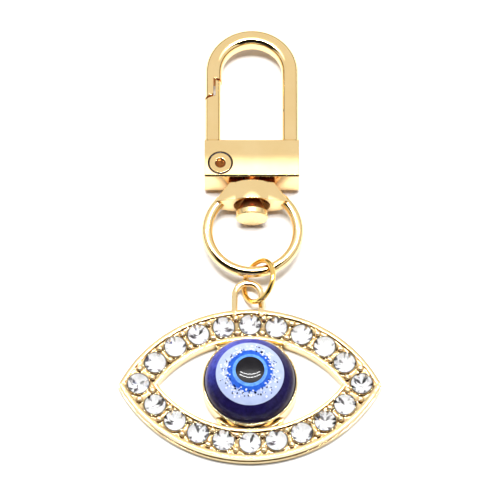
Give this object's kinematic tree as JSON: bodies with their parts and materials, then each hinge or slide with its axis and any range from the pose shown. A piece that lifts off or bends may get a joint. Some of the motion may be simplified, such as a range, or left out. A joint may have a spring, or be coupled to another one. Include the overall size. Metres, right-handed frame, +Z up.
{
  "type": "evil eye ornament",
  "caption": "Evil eye bag charm: snap clasp with a spring gate, swivel ring, jump ring and an eye-shaped pendant with rhinestones round a domed blue bead.",
  "frame": {"origin": "on the table under the middle of the whole ornament, which lies flat on its back", "axes": "+Y along the ornament towards the clasp's bow, +X to the right seen from the front, +Z up, out of the eye's front"},
  "size_m": [0.0348, 0.0624, 0.0065],
  "materials": {
    "pale_gold": "polished plating",
    "yellow_gold": "polished plating",
    "spring_steel": "drawn wire",
    "rhinestone": "cut and foil backed",
    "navy_resin": "gloss",
    "white_resin": "gloss with glitter",
    "blue_resin": "gloss",
    "pale_blue_resin": "gloss",
    "black_resin": "gloss"
  },
  "bodies": {
    "clasp": {"hook_body": "pale_gold", "gate_pin": "pale_gold", "gate_spring": "spring_steel", "swivel_rivet": "pale_gold"},
    "gate": {"gate": "pale_gold"},
    "swivel": {"swivel_ring": "pale_gold"},
    "link": {"jump_ring": "yellow_gold"},
    "pendant": {"eye_frame": "pale_gold", "bead_base": "navy_resin", "bead_white_ring": "white_resin", "bead_iris": "blue_resin", "bead_pale_ring": "pale_blue_resin", "bead_pupil": "black_resin", "stone_1": "rhinestone", "stone_2": "rhinestone", "stone_3": "rhinestone", "stone_4": "rhinestone", "stone_5": "rhinestone", "stone_6": "rhinestone", "stone_7": "rhinestone", "stone_8": "rhinestone", "stone_9": "rhinestone", "stone_10": "rhinestone", "stone_11": "rhinestone", "stone_12": "rhinestone", "stone_13": "rhinestone", "stone_14": "rhinestone", "stone_15": "rhinestone", "stone_16": "rhinestone", "stone_17": "rhinestone", "stone_18": "rhinestone", "stone_19": "rhinestone", "stone_20": "rhinestone"}
  },
  "joints": [
    {"name": "gate_hinge", "type": "hinge", "parent": "clasp", "child": "gate", "pos_m": [-0.00395, 0.01038, 0.0026], "axis": [0, 0, -1], "range_deg": [0, 26], "stiffness_Nm_per_rad": 0.01, "springref_deg": -17.19, "deforming": ["gate_spring"]},
    {"name": "ring_swivel", "type": "hinge", "parent": "clasp", "child": "swivel", "pos_m": [0.00025, 0.00698, 0.0026], "axis": [0, 1, 0], "continuous": true},
    {"name": "link_swing", "type": "hinge", "parent": "swivel", "child": "link", "pos_m": [0.00123, -0.00441, 0.0026], "axis": [0.9894, 0.1451, 0], "range_deg": [-60, 60]},
    {"name": "pendant_swing", "type": "hinge", "parent": "link", "child": "pendant", "pos_m": [0.00012, -0.00816, 0.00136], "axis": [0.5642, -0.5382, 0.6262], "range_deg": [-5, 40]}
  ]
}
